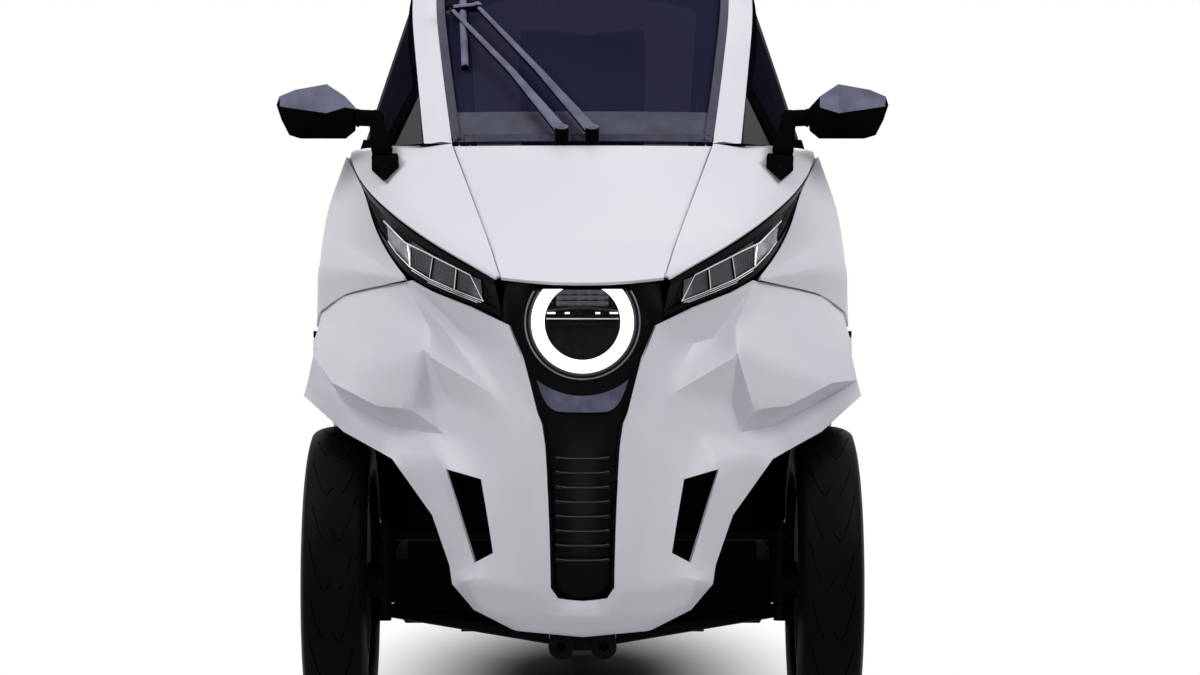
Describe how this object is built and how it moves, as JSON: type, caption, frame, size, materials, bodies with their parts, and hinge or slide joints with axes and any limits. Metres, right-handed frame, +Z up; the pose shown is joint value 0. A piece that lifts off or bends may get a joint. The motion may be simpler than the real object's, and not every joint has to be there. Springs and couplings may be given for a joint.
{
  "type": "three wheeled car",
  "caption": "Narrow tandem two-seat electric car on paired steered front wheels and a single rear wheel, with hinged doors.",
  "frame": {"origin": "on the ground below the middle of the car's box", "axes": "+Z up, the nose faces -Y, +X is the car's left"},
  "size_m": [1.105, 2.4714, 1.5739],
  "materials": {
    "white_paint": "pearl white gloss",
    "gloss_black": "gloss black",
    "black_plastic": "grained black",
    "black_metal": "satin black coat",
    "dark_metal": "dark cast",
    "alloy": "satin dark alloy",
    "tyre": "matt rubber",
    "glass": "tinted glass",
    "lamp_glass": "smoked lens",
    "lamp_ring": "opal light guide",
    "red_lens": "red lens",
    "dark_trim": "grained dark grey",
    "seat_cloth": "woven cloth"
  },
  "bodies": {
    "chassis": {"floor_tub": "black_plastic", "arch_liners": "black_plastic", "battery_block": "dark_metal", "bulkhead": "black_plastic", "front_subframe": "black_metal", "suspension_arms": "black_metal", "front_bumper": "white_paint", "nose_panel": "gloss_black", "headlamp_housing": "gloss_black", "headlamp_ring": "lamp_ring", "headlamp_lens": "lamp_glass", "side_lamp_housings": "gloss_black", "side_lamp_lenses": "lamp_glass", "bonnet": "white_paint", "shoulder_left": "white_paint", "shoulder_right": "white_paint", "wing_left": "white_paint", "wing_right": "white_paint", "pillar_left": "white_paint", "pillar_right": "white_paint", "roof_panel": "white_paint", "windscreen": "glass", "wiper": "black_plastic", "quarter_left": "white_paint", "quarter_right": "white_paint", "quarter_glass": "glass", "rear_panel": "white_paint", "rear_window": "glass", "tail_lamps": "red_lens", "dashboard": "dark_trim", "driver_cushion": "seat_cloth", "driver_backrest": "seat_cloth", "passenger_cushion": "seat_cloth", "passenger_backrest": "seat_cloth", "mirror_left": "gloss_black", "mirror_right": "gloss_black", "swing_arm": "black_metal", "rear_mudguard": "black_plastic", "corner_trims": "gloss_black", "rear_seat_box": "black_plastic", "motor_block": "dark_metal"},
    "left_upright": {"knuckle_left": "black_metal"},
    "right_upright": {"knuckle_right": "black_metal"},
    "left_wheel": {"rim_front_left": "alloy", "tyre_front_left": "tyre"},
    "right_wheel": {"rim_front_right": "alloy", "tyre_front_right": "tyre"},
    "rear_wheel": {"rim_rear": "alloy", "tyre_rear": "tyre"},
    "left_door": {"door_left": "white_paint", "door_glass_left": "glass"},
    "right_door": {"door_right": "white_paint", "door_glass_right": "glass"},
    "hand_wheel": {"steering_wheel": "dark_trim"}
  },
  "joints": [
    {"name": "steer_left", "type": "hinge", "parent": "chassis", "child": "left_upright", "pos_m": [0.352, -0.845, 0.275], "axis": [0, 0, 1], "range_deg": [-28, 28]},
    {"name": "steer_right", "type": "hinge", "parent": "chassis", "child": "right_upright", "pos_m": [-0.352, -0.845, 0.275], "axis": [0, 0, 1], "range_deg": [-28, 28]},
    {"name": "hand_wheel_turn", "type": "hinge", "parent": "chassis", "child": "hand_wheel", "pos_m": [0, -0.56, 0.8], "axis": [0, 0.8829, 0.4695], "range_deg": [-336, 336]},
    {"name": "left_wheel_spin", "type": "hinge", "parent": "left_upright", "child": "left_wheel", "pos_m": [0.427, -0.845, 0.275], "axis": [1, 0, 0], "continuous": true},
    {"name": "right_wheel_spin", "type": "hinge", "parent": "right_upright", "child": "right_wheel", "pos_m": [-0.427, -0.845, 0.275], "axis": [1, 0, 0], "continuous": true},
    {"name": "rear_wheel_spin", "type": "hinge", "parent": "chassis", "child": "rear_wheel", "pos_m": [0, 0.955, 0.275], "axis": [1, 0, 0], "continuous": true},
    {"name": "left_door_swing", "type": "hinge", "parent": "chassis", "child": "left_door", "pos_m": [0.488, -0.64, 0.7], "axis": [0, 0, -1], "range_deg": [0, 68]},
    {"name": "right_door_swing", "type": "hinge", "parent": "chassis", "child": "right_door", "pos_m": [-0.488, -0.64, 0.7], "axis": [0, 0, 1], "range_deg": [0, 68]}
  ],
  "couplings": [
    {"joint": "steer_right", "follows": "steer_left", "ratio": 1},
    {"joint": "hand_wheel_turn", "follows": "steer_left", "ratio": 12}
  ]
}
